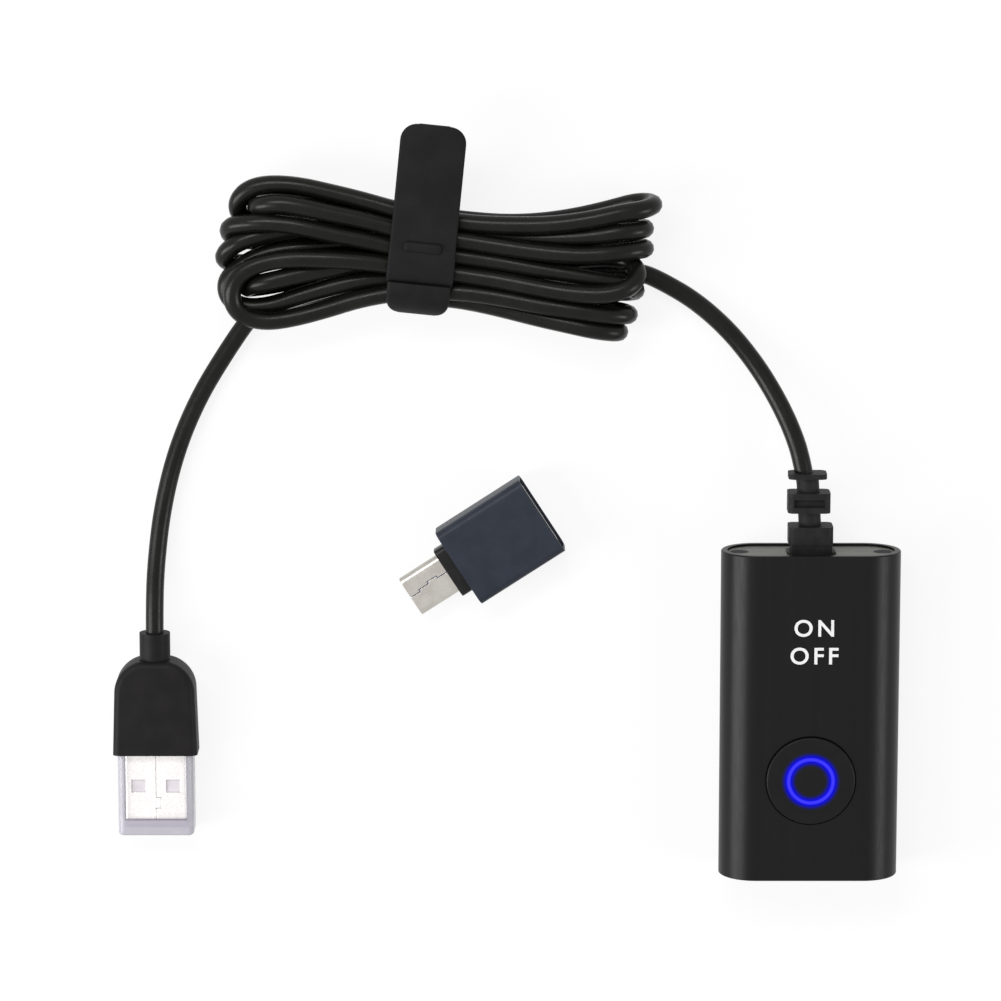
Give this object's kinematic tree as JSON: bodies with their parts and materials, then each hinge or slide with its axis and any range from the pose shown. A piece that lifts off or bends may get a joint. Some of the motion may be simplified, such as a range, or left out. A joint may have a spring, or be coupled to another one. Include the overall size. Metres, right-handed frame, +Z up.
{
  "type": "mouse jiggler",
  "caption": "Flat rounded metal box with one lit push button, a fixed USB-A lead folded into a strapped hank, a plug cap, and a loose USB-C to USB-A adapter.",
  "frame": {"origin": "centre of the case's flat back, which lies on the table", "axes": "+Z up through the button face, +Y along the case towards its lead, +X to the right seen from above with the lead at the top"},
  "size_m": [0.1512, 0.1458, 0.0146],
  "materials": {
    "black_anodised": "fine brushed, anodised",
    "plate_grey": "blasted, anodised",
    "black_screw": "satin",
    "board_green": "solder resist",
    "chip_black": "moulded",
    "can_metal": "satin",
    "capacitor_tan": "fired",
    "led_white": "moulded",
    "switch_black": "moulded",
    "switch_white": "moulded",
    "solder": "bright",
    "button_black": "fine moulded texture",
    "ring_blue": "lit from inside",
    "boot_black": "soft moulded",
    "lead_black": "semi gloss jacket",
    "strap_black": "matt silicone",
    "grip_black": "soft moulded",
    "shell_nickel": "nickel plated, satin",
    "insulator_white": "moulded",
    "contact_gold": "gold flash",
    "cap_clear": "translucent, frosted",
    "sleeve_blue_grey": "anodised, fine blasted",
    "nose_black": "moulded",
    "insulator_blue": "moulded",
    "wire_red": "jacket",
    "wire_white": "jacket",
    "wire_green": "jacket",
    "wire_black": "jacket"
  },
  "bodies": {
    "root": {"housing_tube": "black_anodised", "cable_end_plate": "plate_grey", "blind_end_plate": "plate_grey", "cable_end_screws": "black_screw", "blind_end_screws": "black_screw", "circuit_board": "board_green", "microcontroller": "chip_black", "crystal": "can_metal", "chip_capacitors": "capacitor_tan", "chip_resistors": "chip_black", "led_chips": "led_white", "switch_base": "switch_black", "solder_pads": "solder", "strain_relief": "boot_black", "cable_jacket_end": "lead_black", "wire_red": "wire_red", "wire_white": "wire_white", "wire_green": "wire_green", "wire_black": "wire_black", "cord_near": "lead_black", "cord_hank": "lead_black", "cord_far": "lead_black", "cable_strap": "strap_black", "plug_overmould": "grip_black", "plug_shell": "shell_nickel", "plug_insulator": "insulator_white", "plug_contacts": "contact_gold"},
    "button": {"button_cap": "button_black", "light_ring": "ring_blue", "button_centre": "button_black", "switch_plunger": "switch_white"},
    "cap": {"plug_cap": "cap_clear"},
    "adapter": {"adapter_sleeve": "sleeve_blue_grey", "adapter_nose": "nose_black", "adapter_c_shell": "shell_nickel", "adapter_c_insulator": "insulator_blue", "adapter_c_contacts": "contact_gold", "adapter_board": "board_green", "adapter_a_shell": "shell_nickel", "adapter_a_tongue": "insulator_blue", "adapter_a_contacts": "contact_gold"}
  },
  "joints": [
    {"name": "button_press", "type": "slide", "parent": "root", "child": "button", "axis": [0, 0, -1], "range_m": [0, 0.0004], "stiffness_N_per_m": 1500, "springref_m": -0.0006},
    {"name": "cap_pull", "type": "slide", "parent": "root", "child": "cap", "axis": [0, -1, 0], "range_m": [0, 0.016]},
    {"name": "adapter_lift", "type": "slide", "parent": "root", "child": "adapter", "axis": [0, 0, 1], "range_m": [0, 0.05]}
  ]
}
